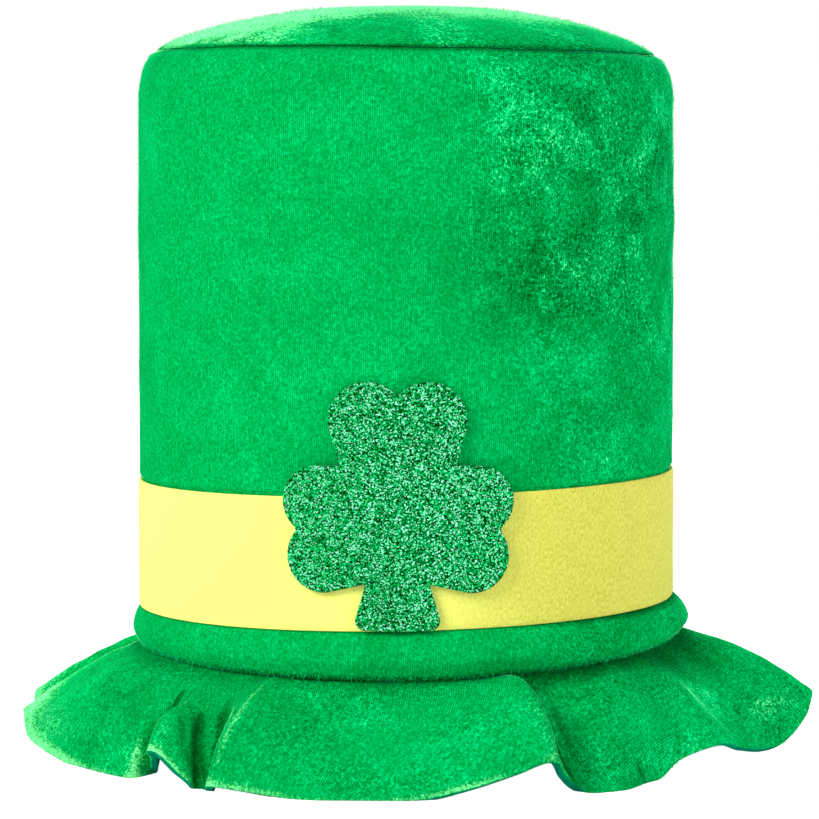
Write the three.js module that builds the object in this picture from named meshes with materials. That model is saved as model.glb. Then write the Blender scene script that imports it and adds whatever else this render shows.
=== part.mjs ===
// A costume leprechaun hat: a tall padded velvet crown with a domed top, a ruffled brim,
// a yellow felt band and a glitter shamrock. Millimetres, +Z up, the shamrock faces -Y.
// Angles go round the crown in degrees: 0 at the front, positive towards +X, 180 at the back.
import * as THREE from 'three';

// Crown
const crownRadius = 100.7;
const crownWall = 3;
const crownHeight = 217;
const crownSteps = 64;

// Soft roll of the crown's padding between the brim seam and the band
const rollDepth = 4.5;
const rollToTheRight = 1.8;

// Rounded shoulder below the top seam
const shoulderHeight = 16.3;
const shoulderDepth = 8.3;

// Domed top
const domeRise = 17.7;
const topSeamTilt = 1.1;
const tiltFade = 4;

// Brim seam, measured at the back of the hat
const brimSeamHeight = 42.3;
const brimSeamDip = 5.1;
const brimSeamTilt = 1.5;

// Brim
const brimSpread = 31;
const brimCloth = 2.5;
const foldHeight = 13;
const brimBow = 5;
const flatten = 1.5;
const brimSteps = 3;

// How far in from the crown's outside the brim is sewn on, as a share of the crown's wall
const brimSeamInset = 0.8;

// Band. It presses the crown's padding in by its sink, which comes out again above it.
const bandWidth = 47.5;
const bandThickness = 1.2;
const bandAboveSeam = 12.3;
const bandTilt = 2;
const bandSink = 1;
const bandSinkEnd = 2;
const bandEndGap = 1;

// Shamrock. Its foam is bent round less than the crown is, by the extra radius.
const shamrockHeight = 88;
const shamrockThickness = 2;
const shamrockExtraRadius = 24.3;
const shamrockToTheLeft = 2.8;

// Gap left between pieces that are sewn or glued together
const seamGap = 0.3;

// Outside of the crown from the brim seam up to the band. height is a share of the way between
// them, roll a share of the roll's depth and sink a share of the band's sink.
const rollTable = [
  { height: 0.0, roll: 0.05, sink: 0.0 },
  { height: 0.15, roll: 0.6, sink: 0.0 },
  { height: 0.4, roll: 1.0, sink: 0.0 },
  { height: 0.67, roll: 0.75, sink: 0.2 },
  { height: 0.87, roll: 0.2, sink: 0.75 },
  { height: 1.0, roll: 0.0, sink: 1.0 },
];

// Outside of the crown's shoulder up to the top seam. height and depth are shares of the
// shoulder's height and of how far it turns in.
const shoulderTable = [
  { height: 0.0, depth: 0.03 },
  { height: 0.49, depth: 0.19 },
  { height: 0.77, depth: 0.41 },
  { height: 0.91, depth: 0.63 },
  { height: 1.0, depth: 1.0 },
];

// Outside of the domed top from its rim to the centre. radius is a share of the rim's radius,
// rise a share of the dome's rise above the top seam.
const domeTable = [
  { radius: 1.0, rise: 0.0 },
  { radius: 0.985, rise: 0.14 },
  { radius: 0.955, rise: 0.25 },
  { radius: 0.9, rise: 0.35 },
  { radius: 0.83, rise: 0.46 },
  { radius: 0.72, rise: 0.61 },
  { radius: 0.56, rise: 0.78 },
  { radius: 0.34, rise: 0.93 },
];

// Folds of the brim, one row for each crest, trough or bend, round the hat from the back.
// root is the angle at the seam and swing how far the hem is carried round from it, both in
// degrees. reach is a share of the brim's spread, lift of the fold height, bow of the brim's bow.
const foldTable = [
  { root: -175, swing: 0, reach: 0.97, lift: 0.0, bow: 0.6 },
  { root: -164, swing: 0, reach: 1.15, lift: 0.85, bow: 1.2 },
  { root: -152, swing: 0, reach: 0.97, lift: 0.0, bow: 0.6 },
  { root: -146, swing: 0, reach: 0.99, lift: 0.0, bow: 0.6 },
  { root: -131, swing: 0, reach: 1.33, lift: 1.0, bow: 0.8 },
  { root: -121, swing: 0, reach: 1.12, lift: 0.2, bow: 0.5 },
  { root: -112, swing: 0, reach: 1.48, lift: 1.0, bow: 0.7 },
  { root: -102, swing: 0, reach: 1.3, lift: 0.5, bow: 0.3 },
  { root: -93, swing: 0, reach: 1.41, lift: 0.97, bow: 0.75 },
  { root: -84, swing: 1, reach: 1.38, lift: 0.62, bow: 0.8 },
  { root: -72, swing: 1, reach: 1.2, lift: 0.2, bow: 1.0 },
  { root: -60, swing: 2, reach: 1.04, lift: 0.0, bow: 1.0 },
  { root: -52, swing: 2, reach: 1.0, lift: 0.0, bow: 1.0 },
  { root: -47, swing: -1.5, reach: 0.9, lift: 0.0, bow: 0.8 },
  { root: -45, swing: -4.5, reach: 0.6, lift: 0.1, bow: 0.6 },
  { root: -42.5, swing: -1.5, reach: 0.9, lift: 0.65, bow: 0.8 },
  { root: -40, swing: 0.7, reach: 1.28, lift: 1.0, bow: 1.0 },
  { root: -36.5, swing: 0.5, reach: 1.12, lift: 0.45, bow: 0.8 },
  { root: -31.5, swing: -0.7, reach: 0.97, lift: 0.0, bow: 0.3 },
  { root: -26, swing: -1.5, reach: 1.1, lift: 0.3, bow: 1.2 },
  { root: -21, swing: 1, reach: 0.97, lift: 0.0, bow: 0.8 },
  { root: -14, swing: -1, reach: 1.06, lift: 0.0, bow: 1.0 },
  { root: -6, swing: -0.5, reach: 1.0, lift: 0.0, bow: 0.7 },
  { root: 2, swing: 0.5, reach: 0.98, lift: 0.1, bow: 0.6 },
  { root: 9, swing: 0.7, reach: 1.04, lift: 0.37, bow: 0.9 },
  { root: 15.5, swing: 1, reach: 1.12, lift: 0.72, bow: 1.3 },
  { root: 20.5, swing: 0.7, reach: 1.22, lift: 1.0, bow: 1.7 },
  { root: 23.5, swing: 0.8, reach: 1.0, lift: 0.56, bow: 0.9 },
  { root: 25.5, swing: 1.0, reach: 0.88, lift: 0.24, bow: 0.0 },
  { root: 28, swing: 0.8, reach: 1.08, lift: 0.0, bow: 0.1 },
  { root: 33, swing: 0, reach: 1.09, lift: 0.0, bow: 0.7 },
  { root: 39, swing: 0.6, reach: 0.92, lift: 0.0, bow: 0.9 },
  { root: 44, swing: 0.5, reach: 0.84, lift: 0.12, bow: 0.9 },
  { root: 49, swing: 0.4, reach: 0.84, lift: 0.46, bow: 1.0 },
  { root: 58, swing: 1.5, reach: 1.0, lift: 0.7, bow: 1.2 },
  { root: 66, swing: 0.5, reach: 1.06, lift: 0.44, bow: 0.9 },
  { root: 73, swing: 0.5, reach: 1.18, lift: 0.24, bow: 0.8 },
  { root: 79, swing: 0.5, reach: 1.3, lift: 0.18, bow: 0.9 },
  { root: 83, swing: 0.5, reach: 1.46, lift: 0.38, bow: 1.0 },
  { root: 88, swing: 0.5, reach: 1.66, lift: 0.85, bow: 1.2 },
  { root: 94, swing: -0.5, reach: 1.75, lift: 1.2, bow: 1.15 },
  { root: 104, swing: -1, reach: 1.5, lift: 0.7, bow: 1.1 },
  { root: 115, swing: -1, reach: 1.1, lift: 0.0, bow: 0.6 },
  { root: 121, swing: 0, reach: 1.04, lift: 0.0, bow: 0.6 },
  { root: 132, swing: 0, reach: 1.28, lift: 0.8, bow: 1.2 },
  { root: 143, swing: 0, reach: 0.98, lift: 0.0, bow: 0.6 },
  { root: 149, swing: 0, reach: 1.0, lift: 0.0, bow: 0.6 },
  { root: 163, swing: 0, reach: 1.2, lift: 0.92, bow: 1.2 },
  { root: 178, swing: 0, reach: 0.94, lift: 0.0, bow: 0.6 },
];

// Places between seam and hem where the brim has a row of corners, as shares of its width
const brimRows = [0, 0.12, 0.3, 0.5, 0.7, 0.87, 1];

// Right half of the shamrock's outline from the top notch down to the stem's foot. x, y and r
// are shares of its height, from its foot. Each row is an arc from one angle to another in
// degrees, clockwise, and a row with no radius is a corner.
const shamrockTable = [
  { x: 0.1215, y: 0.8446, r: 0.1544, from: 141.9, to: -14.1 },
  { x: 0.2303, y: 0.6633, r: 0, from: 0, to: 0 },
  { x: 0.3227, y: 0.5219, r: 0.1414, from: 90, to: -50.9 },
  { x: 0.296, y: 0.302, r: 0.149, from: 37.6, to: -95 },
  { x: 0.127, y: 0.189, r: 0, from: 0, to: 0 },
  { x: 0.128, y: 0.043, r: 0.04, from: 16.7, to: -90 },
  { x: 0, y: 0, r: 0, from: 0, to: 0 },
];
const shamrockCentre = 0.5;

// Rings of corners on the shamrock's faces, as shares of the way from its centre to its outline
const shamrockRings = [0.36, 0.7, 1];
const arcStep = 18;

const degree = Math.PI / 180;

function brimSeam(angle) {
  const frontness = (1 + Math.cos(angle * degree)) / 2;
  return brimSeamHeight - brimSeamDip * frontness ** 2 + brimSeamTilt * Math.sin(angle * degree);
}

function topSeam(angle) {
  return brimSeamHeight + crownHeight - topSeamTilt * Math.sin(angle * degree);
}

function place(angle, radius, z) {
  return new THREE.Vector3(radius * Math.sin(angle * degree), -radius * Math.cos(angle * degree), z);
}

function bandFoot(angle) {
  return brimSeamHeight + bandAboveSeam + bandTilt * Math.sin(angle * degree);
}

// Outside of the crown wall at one angle, as points with x the radius and y the height
function crownProfile(angle) {
  const seam = brimSeam(angle);
  const rollHeight = bandFoot(angle) - seam;
  const depth = rollDepth + rollToTheRight * Math.sin(angle * degree);
  const bandTop = bandFoot(angle) + bandWidth + seamGap;
  const roll = rollTable.map((row) => new THREE.Vector2(
    crownRadius + depth * row.roll - bandSink * row.sink,
    seam + rollHeight * row.height,
  ));
  const shoulder = shoulderTable.map((row) => new THREE.Vector2(
    crownRadius - shoulderDepth * row.depth,
    topSeam(angle) - shoulderHeight * (1 - row.height),
  ));
  return [
    ...roll,
    new THREE.Vector2(crownRadius - bandSink, bandTop),
    new THREE.Vector2(crownRadius, bandTop + bandSinkEnd),
    ...shoulder,
  ];
}

// The same profile moved inwards by a wall's thickness, with both of its ends level
function insideOf(profile, wall) {
  return profile.map((point, k) => {
    if (k === 0 || k === profile.length - 1) return new THREE.Vector2(point.x - wall, point.y);
    const along = profile[k + 1].clone().sub(profile[k - 1]).normalize();
    return new THREE.Vector2(point.x - wall * along.y, point.y + wall * along.x);
  });
}

// A closed geometry from corner points and triangles, turned so that its faces point outwards
function closedGeometry(points, triangles) {
  const volume = triangles.reduce((sum, [a, b, c]) => {
    const cross = new THREE.Vector3().crossVectors(points[b], points[c]);
    return sum + points[a].dot(cross);
  }, 0);
  const index = triangles.flatMap(([a, b, c]) => (volume > 0 ? [a, b, c] : [a, c, b]));
  const geometry = new THREE.BufferGeometry();
  geometry.setFromPoints(points);
  geometry.setIndex(index);
  geometry.computeVertexNormals();
  return geometry;
}

// A thin wall through sections that each have as many points outside as inside. It either
// goes right round or ends in two edges.
function wallGeometry(sections, goesRound) {
  const rows = sections[0].outside.length;
  const size = 2 * rows;
  const points = sections.flatMap(({ outside, inside }) => [...outside, ...[...inside].reverse()]);
  const triangles = [];
  const joins = goesRound ? sections.length : sections.length - 1;
  for (let s = 0; s < joins; s += 1) {
    const here = s * size;
    const there = ((s + 1) % sections.length) * size;
    for (let k = 0; k < size; k += 1) {
      const next = (k + 1) % size;
      triangles.push([here + k, there + k, there + next], [here + k, there + next, here + next]);
    }
  }
  if (!goesRound) {
    const last = (sections.length - 1) * size;
    for (let k = 0; k < rows - 1; k += 1) {
      const [a, b, c, d] = [k, k + 1, size - 2 - k, size - 1 - k];
      triangles.push([a, b, c], [a, c, d]);
      triangles.push([last + a, last + c, last + b], [last + a, last + d, last + c]);
    }
  }
  return closedGeometry(points, triangles);
}

// A thin disc with rings of points round a centre on its face and on its back
function discGeometry(face, back) {
  const points = [];
  const triangles = [];
  const starts = [];
  for (const { centre, rings } of [face, back]) {
    starts.push(points.length);
    points.push(centre, ...rings.flat());
  }
  const steps = face.rings[0].length;
  const corner = (side, ring, k) => starts[side] + 1 + ring * steps + (k % steps);
  const quad = (a, b, c, d) => triangles.push([a, b, c], [a, c, d]);
  const rim = face.rings.length - 1;
  for (let k = 0; k < steps; k += 1) {
    triangles.push([starts[0], corner(0, 0, k), corner(0, 0, k + 1)]);
    triangles.push([starts[1], corner(1, 0, k + 1), corner(1, 0, k)]);
    for (let ring = 0; ring < rim; ring += 1) {
      const out = ring + 1;
      quad(corner(0, ring, k), corner(0, out, k), corner(0, out, k + 1), corner(0, ring, k + 1));
      quad(corner(1, ring, k + 1), corner(1, out, k + 1), corner(1, out, k), corner(1, ring, k));
    }
    quad(corner(0, rim, k), corner(1, rim, k), corner(1, rim, k + 1), corner(0, rim, k + 1));
  }
  return closedGeometry(points, triangles);
}

function crownAngles() {
  return Array.from({ length: crownSteps }, (_, k) => -180 + (360 * k) / crownSteps);
}

function crownSide() {
  const sections = crownAngles().map((angle) => {
    const profile = crownProfile(angle);
    return {
      outside: profile.map((point) => place(angle, point.x, point.y)),
      inside: insideOf(profile, crownWall).map((point) => place(angle, point.x, point.y)),
    };
  });
  return wallGeometry(sections, true);
}

function crownTop() {
  const rim = crownRadius - shoulderDepth;
  const profile = domeTable.map((row) => new THREE.Vector2(rim * row.radius, domeRise * row.rise));
  const outside = [...profile, new THREE.Vector2(0, domeRise)];
  const inside = insideOf(outside, crownWall).slice(0, -1);
  const fade = (radius) => Math.min(radius / rim, 1) ** tiltFade;
  const tilt = (angle, radius) => (topSeam(angle) - topSeam(0)) * fade(radius);
  const ringsOf = (points) => points.map((point) => crownAngles().map(
    (angle) => place(angle, point.x, topSeam(0) + tilt(angle, point.x) + seamGap + point.y),
  )).reverse();
  const level = topSeam(0) + seamGap + domeRise;
  return discGeometry(
    { centre: new THREE.Vector3(0, 0, level), rings: ringsOf(profile) },
    { centre: new THREE.Vector3(0, 0, level - crownWall), rings: ringsOf(inside) },
  );
}

// Slope of a table column at a row, level at each crest and trough so that it never overshoots
function columnSlope(before, after) {
  return before * after > 0 ? (2 * before * after) / (before + after) : 0;
}

// The fold table read between two of its rows
function foldAt(row, share) {
  const count = foldTable.length;
  const [a, b, c, d] = [-1, 0, 1, 2].map((k) => foldTable[(row + k + count) % count]);
  const turn = (from, to) => (((to.root - from.root) % 360) + 360) % 360;
  const [ab, bc, cd] = [turn(a, b), turn(b, c), turn(c, d)];
  const read = (column) => {
    const middle = (c[column] - b[column]) / bc;
    const start = columnSlope((b[column] - a[column]) / ab, middle) * bc;
    const end = columnSlope(middle, (d[column] - c[column]) / cd) * bc;
    const s = share;
    return b[column] * (1 + 2 * s) * (1 - s) ** 2 + start * s * (1 - s) ** 2
      + c[column] * s * s * (3 - 2 * s) + end * s * s * (s - 1);
  };
  return {
    root: b.root + bc * share,
    swing: read('swing'),
    reach: read('reach'),
    lift: read('lift'),
    bow: read('bow'),
  };
}

// A hump that is 0 at both ends and 1 halfway
function hump(share) {
  return 4 * share * (1 - share);
}

// Middle of the brim's cloth at a share of the way from the seam to the hem
function brimPoint(fold, share) {
  const root = new THREE.Vector2(
    crownRadius - crownWall * brimSeamInset,
    brimSeam(fold.root) - seamGap - brimCloth / 2,
  );
  const hem = new THREE.Vector2(
    crownRadius + brimSpread * fold.reach,
    foldHeight * fold.lift - flatten * (1 - fold.lift),
  );
  const chord = hem.clone().sub(root);
  const out = new THREE.Vector2(-chord.y, chord.x).normalize();
  const bulge = hump(share) * brimBow * fold.bow;
  const point = root.clone().addScaledVector(chord, share).addScaledVector(out, bulge);
  return place(fold.root + fold.swing * share, point.x, point.y);
}

// The brim hangs from the seam in folds. Where a fold would pass below the table it lies flat.
function brim() {
  const folds = foldTable.flatMap((_, row) => Array.from(
    { length: brimSteps },
    (_step, k) => foldAt(row, k / brimSteps),
  ));
  const middle = folds.map((fold) => brimRows.map((share) => brimPoint(fold, share)));
  const sections = middle.map((line, s) => {
    const before = middle[(s + middle.length - 1) % middle.length];
    const after = middle[(s + 1) % middle.length];
    const offset = (side) => line.map((point, k) => {
      const round = after[k].clone().sub(before[k]);
      const below = line[Math.min(k + 1, line.length - 1)];
      const down = below.clone().sub(line[Math.max(k - 1, 0)]);
      const up = new THREE.Vector3().crossVectors(down, round).normalize();
      const moved = point.clone().addScaledVector(up, (side * brimCloth) / 2);
      moved.z = Math.max(moved.z, 0);
      return moved;
    });
    return { outside: offset(1), inside: offset(-1) };
  });
  return wallGeometry(sections, true);
}

// A felt strip that lies on the crown, its ends a little apart at the back
function band() {
  const endTurn = (bandEndGap / 2 / crownRadius) / degree;
  const angles = [-180 + endTurn, ...crownAngles().slice(1), 180 - endTurn];
  const back = crownRadius - bandSink + seamGap;
  const sections = angles.map((angle) => {
    const foot = bandFoot(angle);
    const line = (radius) => [foot, foot + bandWidth].map((z) => place(angle, radius, z));
    return { outside: line(back + bandThickness), inside: line(back) };
  });
  return wallGeometry(sections, false);
}

// The shamrock's outline, clockwise from its top notch, in shares of its height
function shamrockOutline() {
  const half = shamrockTable.flatMap((row) => {
    const steps = Math.ceil((row.from - row.to) / arcStep);
    return Array.from({ length: steps + 1 }, (_, k) => {
      const angle = (row.from + (row.to - row.from) * (steps ? k / steps : 0)) * degree;
      return new THREE.Vector2(row.x + row.r * Math.cos(angle), row.y + row.r * Math.sin(angle));
    });
  });
  const mirrored = half.slice(1, -1).reverse().map((point) => new THREE.Vector2(-point.x, point.y));
  return [...half, ...mirrored];
}

// A flat cut-out bent a little round the front of the band, its foot level with the band's
function shamrock() {
  const outline = shamrockOutline();
  const centre = new THREE.Vector2(0, shamrockCentre);
  const bendRadius = crownRadius + shamrockExtraRadius;
  const bandOutside = crownRadius - bandSink + seamGap + bandThickness;
  const back = Math.max(crownRadius, bandOutside) + seamGap;
  const bend = (point, thickness) => {
    const turn = (point.x * shamrockHeight) / bendRadius;
    const radius = bendRadius + thickness;
    return new THREE.Vector3(
      radius * Math.sin(turn),
      bendRadius - back - radius * Math.cos(turn),
      bandFoot(0) + point.y * shamrockHeight,
    );
  };
  const side = (thickness) => ({
    centre: bend(centre, thickness),
    rings: shamrockRings.map((share) => outline.map(
      (point) => bend(centre.clone().lerp(point, share), thickness),
    )),
  });
  return discGeometry(side(shamrockThickness), side(0));
}

function piece(name, geometry, color, roughness) {
  const material = new THREE.MeshStandardMaterial({ color, roughness, metalness: 0 });
  const mesh = new THREE.Mesh(geometry, material);
  mesh.name = name;
  return mesh;
}

const velvet = 0x00a648;
const felt = 0xf4ee7a;
const glitter = 0x12945c;

const hat = new THREE.Group();
hat.add(piece('crown_side', crownSide(), velvet, 0.9));
hat.add(piece('crown_top', crownTop(), velvet, 0.9));
hat.add(piece('brim', brim(), velvet, 0.9));
hat.add(piece('band', band(), felt, 0.95));

const ornament = piece('shamrock', shamrock(), glitter, 0.4);
ornament.rotation.z = -Math.asin(shamrockToTheLeft / crownRadius);
hat.add(ornament);

// The hat stands on z = 0 with the middle of its footprint on the origin
const box = new THREE.Box3().setFromObject(hat, true);
const middle = box.getCenter(new THREE.Vector3());
hat.position.set(-middle.x, -middle.y, -box.min.z);
hat.updateMatrixWorld(true);

export default hat;
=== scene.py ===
# A tall costume hat of crushed green velvet on foam: a crown with a domed top, a ruffled brim,
# a yellow felt band and a glitter shamrock. Metres, +Z up, the shamrock faces -Y.
# Turns go round the crown in radians: 0 at the front, positive towards +X, pi at the back.
import math

import bmesh
import bpy
import numpy as np
from bpy.props import FloatProperty, FloatVectorProperty, PointerProperty
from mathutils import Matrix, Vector


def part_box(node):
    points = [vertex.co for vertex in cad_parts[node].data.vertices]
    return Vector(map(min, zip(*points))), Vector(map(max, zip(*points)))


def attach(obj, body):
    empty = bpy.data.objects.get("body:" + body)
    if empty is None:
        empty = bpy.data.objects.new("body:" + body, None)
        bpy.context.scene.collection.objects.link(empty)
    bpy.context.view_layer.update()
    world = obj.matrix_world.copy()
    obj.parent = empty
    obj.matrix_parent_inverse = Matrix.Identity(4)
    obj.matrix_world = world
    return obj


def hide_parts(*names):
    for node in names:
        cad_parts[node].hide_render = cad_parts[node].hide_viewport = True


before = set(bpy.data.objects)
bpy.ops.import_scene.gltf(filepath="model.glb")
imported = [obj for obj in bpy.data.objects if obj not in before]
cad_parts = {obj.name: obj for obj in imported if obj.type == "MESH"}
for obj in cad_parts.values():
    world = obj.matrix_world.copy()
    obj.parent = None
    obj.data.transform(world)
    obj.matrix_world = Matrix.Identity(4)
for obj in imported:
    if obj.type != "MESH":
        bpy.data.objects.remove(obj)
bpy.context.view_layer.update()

bl_info = {
    "name": "Costume Hat",
    "version": (1, 0, 0),
    "blender": (4, 5, 0),
    "location": "View3D > Sidebar > Hat",
    "description": "Builds a velvet costume hat with a ruffled brim, a felt band and a shamrock",
    "category": "Add Mesh",
}

MM = 0.001
UPWARD = np.array([0.0, 0.0, 1.0])

# Rows of the crown's outside: on the roll, in the band's seat, out of it, up the wall and over
# the shoulder
ROLL_ROWS, SEAT_ROWS, RISE_ROWS, WALL_ROWS, SHOULDER_ROWS = 42, 3, 6, 57, 23

# A single fibre of the nap: its radius, how deep it is rooted and how much it strays
FIBRE_RADIUS = 0.08 * MM
FIBRE_ROOT = 0.2 * MM
STRAY = 0.3

# The crown's axis goes through the middle of its domed top
top_low, top_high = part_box("crown_top")
AXIS = (top_low + top_high) / 2

# The lights are turned to the crown's axis at this height, just above the band
LIT_HEIGHT = 120 * MM

# Turns of the crown's columns
CROWN_TURNS = np.linspace(-math.pi, math.pi, 400, endpoint=False)[:, None]

# Outside of the crown from the brim seam up to the band: share of the way between them, share of
# the roll's depth and share of the band's sink
ROLL = (
    (0.0, 0.05, 0.0),
    (0.15, 0.6, 0.0),
    (0.4, 1.0, 0.0),
    (0.67, 0.75, 0.0),
    (0.87, 0.36, 0.1),
    (0.955, 0.14, 0.25),
    (1.0, 0.0, 1.0),
)

# Outside of the shoulder up to the top seam: share of its height, share of how far it turns in
SHOULDER = ((0.0, 0.03), (0.49, 0.19), (0.77, 0.41), (0.91, 0.63), (1.0, 1.0))

# Outside of the domed top from its centre out: share of the rim's radius, share of the rise
DOME = (
    (0.0, 1.0),
    (0.34, 0.93),
    (0.56, 0.77),
    (0.72, 0.6),
    (0.83, 0.43),
    (0.9, 0.3),
    (0.955, 0.17),
    (0.985, 0.07),
    (1.0, 0.0),
)

# Folds of the brim, one row for each crest, trough or bend, round the hat from the back: turn at
# the seam and swing of the hem from it in degrees, then shares of the brim's spread, of the
# fold height and of the bow
FOLDS = (
    (-175, 0, 0.97, 0.0, 0.6),
    (-164, 0, 1.15, 0.85, 1.2),
    (-152, 0, 0.97, 0.0, 0.6),
    (-146, 0, 0.99, 0.0, 0.6),
    (-131, 0, 1.33, 1.0, 0.8),
    (-121, 0, 1.12, 0.2, 0.5),
    (-112, 0, 1.4, 0.7, -0.1),
    (-104, 0, 1.5, 1.0, 0.4),
    (-97, 0, 1.42, 0.7, -1.3),
    (-89, 0.5, 1.4, 0.82, 0.3),
    (-81, 1, 1.36, 0.42, 0.7),
    (-72, 1, 1.2, 0.2, 1.0),
    (-61, 2, 1.04, 0.0, 1.0),
    (-53, 3, 1.0, 0.0, 1.2),
    (-50, 1.5, 0.9, 0.0, 1.3),
    (-48.5, -1, 0.6, 0.1, 0.9),
    (-46.5, 2.5, 0.9, 0.65, 0.5),
    (-44.5, 5.2, 1.28, 1.0, 1.1),
    (-42, 6, 1.12, 0.45, 0.9),
    (-37.5, 5.3, 0.97, 0.0, 0.0),
    (-27, -2.5, 1.08, 0.25, 1.6),
    (-20, 0, 1.02, 0.1, 0.9),
    (-14, -1, 1.06, 0.0, 0.7),
    (-6, -0.5, 1.0, 0.0, 0.3),
    (2, 0.5, 0.98, 0.1, 0.3),
    (9, 0.7, 1.04, 0.37, 0.8),
    (15.5, 1, 1.12, 0.72, 1.4),
    (20.5, 0.7, 1.22, 1.0, 2.0),
    (23.5, 0.8, 1.0, 0.56, 0.6),
    (26, 1.0, 0.88, 0.24, -0.7),
    (29, 0.6, 1.08, 0.0, -0.9),
    (34, 0, 1.09, 0.0, 0.3),
    (39.5, 0.6, 0.92, 0.0, 1.2),
    (44.5, 0.5, 0.84, 0.12, 1.5),
    (49.5, 0.4, 0.84, 0.46, 1.0),
    (58, 1.5, 1.0, 0.7, 0.7),
    (66, 0.5, 1.06, 0.44, 0.2),
    (73, 0.5, 1.18, 0.24, 0.2),
    (79, 0.5, 1.3, 0.18, 0.5),
    (83, 0.5, 1.46, 0.38, 0.8),
    (88, 0.5, 1.66, 0.85, 0.9),
    (94, -0.5, 1.75, 1.2, 0.85),
    (104, -1, 1.5, 0.7, 0.6),
    (115, -1, 1.1, 0.0, 0.6),
    (121, 0, 1.04, 0.0, 0.6),
    (132, 0, 1.28, 0.8, 1.2),
    (143, 0, 0.98, 0.0, 0.6),
    (149, 0, 1.0, 0.0, 0.6),
    (163, 0, 1.2, 0.92, 1.2),
    (178, 0, 0.94, 0.0, 0.6),
)

# Turns between which the brim is pinched at its hem alone, in degrees
PINCHED = (-61, -37.5)

# How sharply the brim bends, as 1 / radius in metres, where the painted highlight of a ridge or
# the painted shade of a groove starts and where it is full
RIDGE, GROOVE = (60, 190), (-45, -170)

# Short creases in the brim: turn at the seam in degrees and share of the way to the hem at each
# end, half its width in degrees, its height in millimetres and its painted light, below 0 painted
# shade and above 0 painted highlight
CREASES = (
    (-41.5, 0.42, -37.8, 1.3, 1.1, -2.6, -0.7),
    (-43.4, 0.55, -41.5, 0.85, 0.6, -0.8, -0.4),
    (-27.2, 0.0, -27.5, 0.85, 0.6, 0.8, 0.3),
    (-89, 0.15, -88.5, 1.3, 2.8, 0.6, 0.4),
    (-51, 0.68, -50.8, 1.3, 0.7, 0.5, 0.35),
    (39.2, 0.8, 40.2, 0.95, 0.9, -1.0, -0.5),
    (76, 0.62, 75, 0.72, 1.5, -1.0, -0.6),
    (79, 0.66, 84, 0.84, 3.5, 0.5, 0.28),
)

# Right half of the shamrock's outline from the top notch to the stem's foot, in shares of its
# height: x, y and radius of an arc, and its two angles in degrees, clockwise. A radius of 0
# makes a single point
LEAVES = (
    (0.1215, 0.8446, 0.1544, 141.9, -14.1),
    (0.2303, 0.6633, 0, 0, 0),
    (0.3227, 0.5219, 0.1414, 90, -50.9),
    (0.296, 0.302, 0.149, 37.6, -95),
    (0.127, 0.189, 0, 0, 0),
    (0.128, 0.043, 0.04, 16.7, -90),
    (0, 0, 0, 0, 0),
)


def length(name, description, millimetres):
    return FloatProperty(
        name=name, description=description, default=millimetres * MM, min=0, unit="LENGTH"
    )


def colour(name, description, value):
    return FloatVectorProperty(
        name=name, description=description, default=value, min=0, max=1, subtype="COLOR"
    )


def power(name, description, watts):
    return FloatProperty(name=name, description=description, default=watts, min=0, unit="POWER")


def share(name, description, value, high=1.0):
    return FloatProperty(name=name, description=description, default=value, min=0, max=high)


class CrownSettings(bpy.types.PropertyGroup):
    radius: length("Radius", "Outside radius of the crown's wall", 100.7)
    wall: length("Wall", "Thickness of the foam and its velvet", 3)
    height: length("Height", "From the brim seam at the back to the top seam", 217)
    seam_height: length("Brim seam", "Height of the brim seam at the back of the hat", 42.3)
    seam_dip: length("Seam dip", "How much lower the brim seam is at the front", 5.1)
    seam_tilt: length("Seam tilt", "How much higher the brim seam is on the right", 1.5)
    top_tilt: length("Top tilt", "How much lower the top seam is on the right", 1.1)
    roll_depth: length("Roll depth", "How far the padding swells out above the brim seam", 4.5)
    roll_right: length("Roll on the right", "How much more it swells out on the right", 1.8)
    shoulder_height: length("Shoulder height", "Height of the rounded shoulder", 16.3)
    shoulder_depth: length("Shoulder depth", "How far the shoulder turns in", 8.3)
    dome_rise: length("Dome rise", "Height of the domed top above the top seam", 17.7)
    gap: length("Seam gap", "Gap between pieces that are sewn or glued together", 0.3)
    velvet: colour("Velvet", "Colour of the pile", (0.0, 0.32, 0.055))
    # The shaded colour is also laid on as painted shade in seams, grooves and under overhangs
    shade: colour("Shaded velvet", "Colour deep in the pile", (0.0, 0.09, 0.01))
    glow: colour("Brushed velvet", "Colour of pile that leans to the light", (0.0, 0.85, 0.26))
    # A pale colour painted on as sheen where the cloth turns away, and as highlight on ridges and
    # hems
    painted_sheen: colour("Pile tips", "Colour of the tips where the pile stands up", (0.22, 1.0, 0.35))


class BrimSettings(bpy.types.PropertyGroup):
    spread: length("Spread", "How far the brim stands out from the crown", 31)
    cloth: length("Cloth", "Thickness of the brim's cloth and backing", 2.5)
    fold_height: length("Fold height", "How high the hem lifts at a crest", 13)
    bow: length("Bow", "How far the cloth bows out between seam and hem", 5)
    flatten: length("Flatten", "How deep the troughs are pressed on the table", 1.5)
    inset: share("Seam inset", "Place of the brim seam in the crown's wall", 0.8)
    cut_radius: length("Cut radius", "Radius that the brim's inner edge was cut to", 98)
    backing: colour("Backing", "Colour of the foam backing and the cut edge", (0.0, 0.3, 0.16))


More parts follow.
